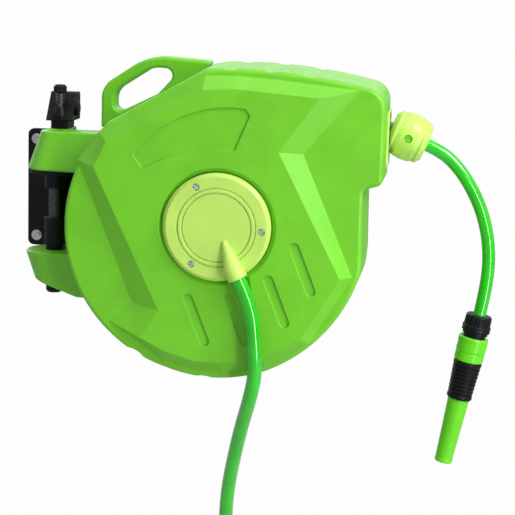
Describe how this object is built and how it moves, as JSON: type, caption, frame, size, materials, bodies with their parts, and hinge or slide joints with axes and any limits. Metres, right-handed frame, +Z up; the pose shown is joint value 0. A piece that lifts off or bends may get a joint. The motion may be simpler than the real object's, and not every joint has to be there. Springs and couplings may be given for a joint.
{
  "type": "wall-mounted hose reel",
  "caption": "Wall-mounted garden hose reel: a round-bodied casing swivels on a wall bracket and holds a sprung drum, with an inlet hose and a hose outlet ending in a spray nozzle.",
  "frame": {"origin": "centre of the wall plate's back face, where it lies on the wall", "axes": "+X along the wall from the bracket to the folded casing, +Y into the wall, +Z up"},
  "size_m": [0.6197, 0.2692, 0.8349],
  "materials": {
    "black_steel": "satin",
    "bolt_steel": "satin",
    "pin_steel": "satin",
    "spring_steel": "satin",
    "black_plastic": "matte",
    "casing_green": "satin",
    "light_green": "satin",
    "hose_green": "gloss",
    "coupling_green": "satin",
    "grey_plastic": "matte",
    "brass_fitting": "satin",
    "seal_rubber": "matte"
  },
  "bodies": {
    "wall_mount": {"wall_bracket": "black_steel", "wall_bolts": "bolt_steel", "wall_washers": "bolt_steel", "hinge_bushes": "black_plastic", "spacer_sleeve": "pin_steel", "detent_plate": "black_steel", "hinge_pin": "pin_steel", "pin_nut": "black_plastic"},
    "casing": {"front_shell": "casing_green", "rear_shell": "casing_green", "shell_screws": "bolt_steel", "upper_arm": "casing_green", "lower_arm": "casing_green", "lock_block": "black_plastic", "lock_spring": "spring_steel", "carry_handle": "casing_green", "hub_cap": "light_green", "hub_cap_screws": "bolt_steel", "hose_gland": "seal_rubber", "inlet_elbow": "brass_fitting", "axle_tube": "pin_steel", "axle_cap": "black_plastic", "spring_arbor": "grey_plastic", "main_spring": "spring_steel", "pawl_pivot": "pin_steel", "outlet_plate": "light_green", "roller_pins": "bolt_steel", "inner_hose": "hose_green", "ball_front": "light_green", "ball_rear": "light_green", "ball_screw": "coupling_green", "outlet_hose": "hose_green", "leader_hose": "hose_green", "leader_coil": "hose_green", "coil_ties": "black_plastic", "nozzle_nut": "black_plastic", "nozzle_coupling": "black_plastic", "tap_nut": "black_plastic", "tap_coupling": "black_plastic"},
    "lock_pin": {"lock_plunger": "pin_steel", "lock_knob": "black_plastic"},
    "drum": {"drum_core": "grey_plastic", "front_flange": "grey_plastic", "rear_flange": "grey_plastic", "flange_bolts": "bolt_steel", "drum_bushes": "grey_plastic", "wound_hose": "hose_green", "drum_elbow": "brass_fitting", "swivel_seals": "seal_rubber", "spring_cup": "black_plastic", "ratchet_wheel": "grey_plastic"},
    "pawl": {"ratchet_pawl": "grey_plastic"},
    "upper_roller": {"upper_roller": "grey_plastic"},
    "lower_roller": {"lower_roller": "grey_plastic"},
    "nozzle_sleeve": {"nozzle_collar": "coupling_green"},
    "nozzle": {"nozzle_grip": "black_plastic", "nozzle_spindle": "grey_plastic", "nozzle_seal": "seal_rubber"},
    "nozzle_head": {"nozzle_tube": "coupling_green"},
    "tap_sleeve": {"tap_collar": "coupling_green"}
  },
  "joints": [
    {"name": "swivel", "type": "hinge", "parent": "wall_mount", "child": "casing", "pos_m": [0, -0.118, 0], "axis": [0, 0, -1], "range_deg": [0, 180]},
    {"name": "lock_drop", "type": "slide", "parent": "casing", "child": "lock_pin", "axis": [0, 0, 1], "range_m": [-0.0042, 0], "deforming": ["lock_spring"]},
    {"name": "drum_spin", "type": "hinge", "parent": "casing", "child": "drum", "pos_m": [0.22, -0.117, -0.009], "axis": [0, 1, 0], "continuous": true},
    {"name": "pawl_lift", "type": "hinge", "parent": "casing", "child": "pawl", "pos_m": [0.176, -0.179, -0.031], "axis": [0, -1, 0], "range_deg": [0, 14], "stiffness_Nm_per_rad": 0.3, "springref_deg": -8.59},
    {"name": "upper_roller_spin", "type": "hinge", "parent": "casing", "child": "upper_roller", "pos_m": [0.404, -0.105, 0.12855], "axis": [0, 1, 0], "continuous": true},
    {"name": "lower_roller_spin", "type": "hinge", "parent": "casing", "child": "lower_roller", "pos_m": [0.404, -0.105, 0.09795], "axis": [0, 1, 0], "continuous": true},
    {"name": "nozzle_release", "type": "slide", "parent": "casing", "child": "nozzle_sleeve", "axis": [0.1795, 0, 0.9838], "range_m": [0, 0.0035], "stiffness_N_per_m": 900, "springref_m": -0.004},
    {"name": "nozzle_turn", "type": "hinge", "parent": "casing", "child": "nozzle", "pos_m": [0.539, -0.105, -0.12], "axis": [-0.1795, 0, -0.9838], "continuous": true},
    {"name": "spray_twist", "type": "hinge", "parent": "nozzle", "child": "nozzle_head", "pos_m": [0.539, -0.105, -0.12], "axis": [-0.1795, 0, -0.9838], "range_deg": [0, 270]},
    {"name": "tap_release", "type": "slide", "parent": "casing", "child": "tap_sleeve", "axis": [1, 0, 0], "range_m": [0, 0.0035], "stiffness_N_per_m": 900, "springref_m": -0.004}
  ]
}
